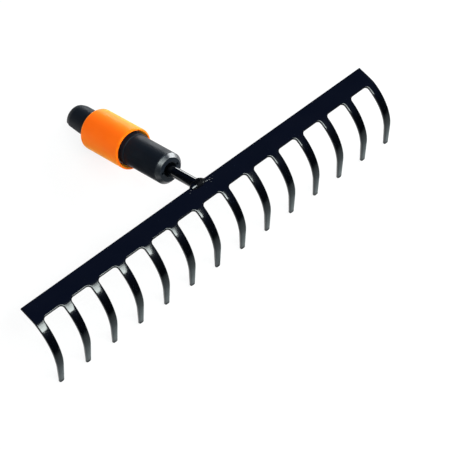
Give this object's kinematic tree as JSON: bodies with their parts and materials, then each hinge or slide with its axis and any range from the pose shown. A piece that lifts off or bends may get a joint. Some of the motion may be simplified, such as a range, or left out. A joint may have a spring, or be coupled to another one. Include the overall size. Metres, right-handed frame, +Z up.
{
  "type": "soil rake head",
  "caption": "Steel garden rake head with curved tines, a welded tang, a moulded socket and a sprung release sleeve that locks it to a separate handle.",
  "frame": {"origin": "middle of the bounding box on the table, under the head as it lies on its tine tips and the sleeve's far lower rim", "axes": "+X along the bar, +Y from the tines towards the handle, +Z up from the table; the handle axis slopes 18 degrees down towards +Y"},
  "size_m": [0.359, 0.1916, 0.062],
  "materials": {
    "painted_steel": "gloss black paint",
    "painted_weld": "gloss black paint over a rough bead",
    "black_nylon": "semi-matt moulded",
    "orange_nylon": "satin moulded",
    "spring_steel": "drawn wire",
    "pin_steel": "ground"
  },
  "bodies": {
    "head": {"rake_head": "painted_steel", "tang": "painted_steel", "tang_weld": "painted_weld", "tang_pin": "pin_steel", "socket_body": "black_nylon", "retaining_ring": "spring_steel", "sleeve_spring": "spring_steel", "lock_pin_spring": "spring_steel"},
    "sleeve": {"release_sleeve": "orange_nylon"},
    "lock_pin": {"lock_pin": "pin_steel"}
  },
  "joints": [
    {"name": "sleeve_slide", "type": "slide", "parent": "head", "child": "sleeve", "axis": [0, -0.9511, 0.309], "range_m": [0, 0.008], "stiffness_N_per_m": 1200, "springref_m": -0.006, "deforming": ["sleeve_spring"]},
    {"name": "lock_pin_slide", "type": "slide", "parent": "head", "child": "lock_pin", "axis": [0, 0.309, 0.9511], "range_m": [0, 0.0018], "stiffness_N_per_m": 300, "springref_m": 0.003, "deforming": ["lock_pin_spring"]}
  ],
  "couplings": [
    {"joint": "lock_pin_slide", "follows": "sleeve_slide", "ratio": 0.225}
  ]
}
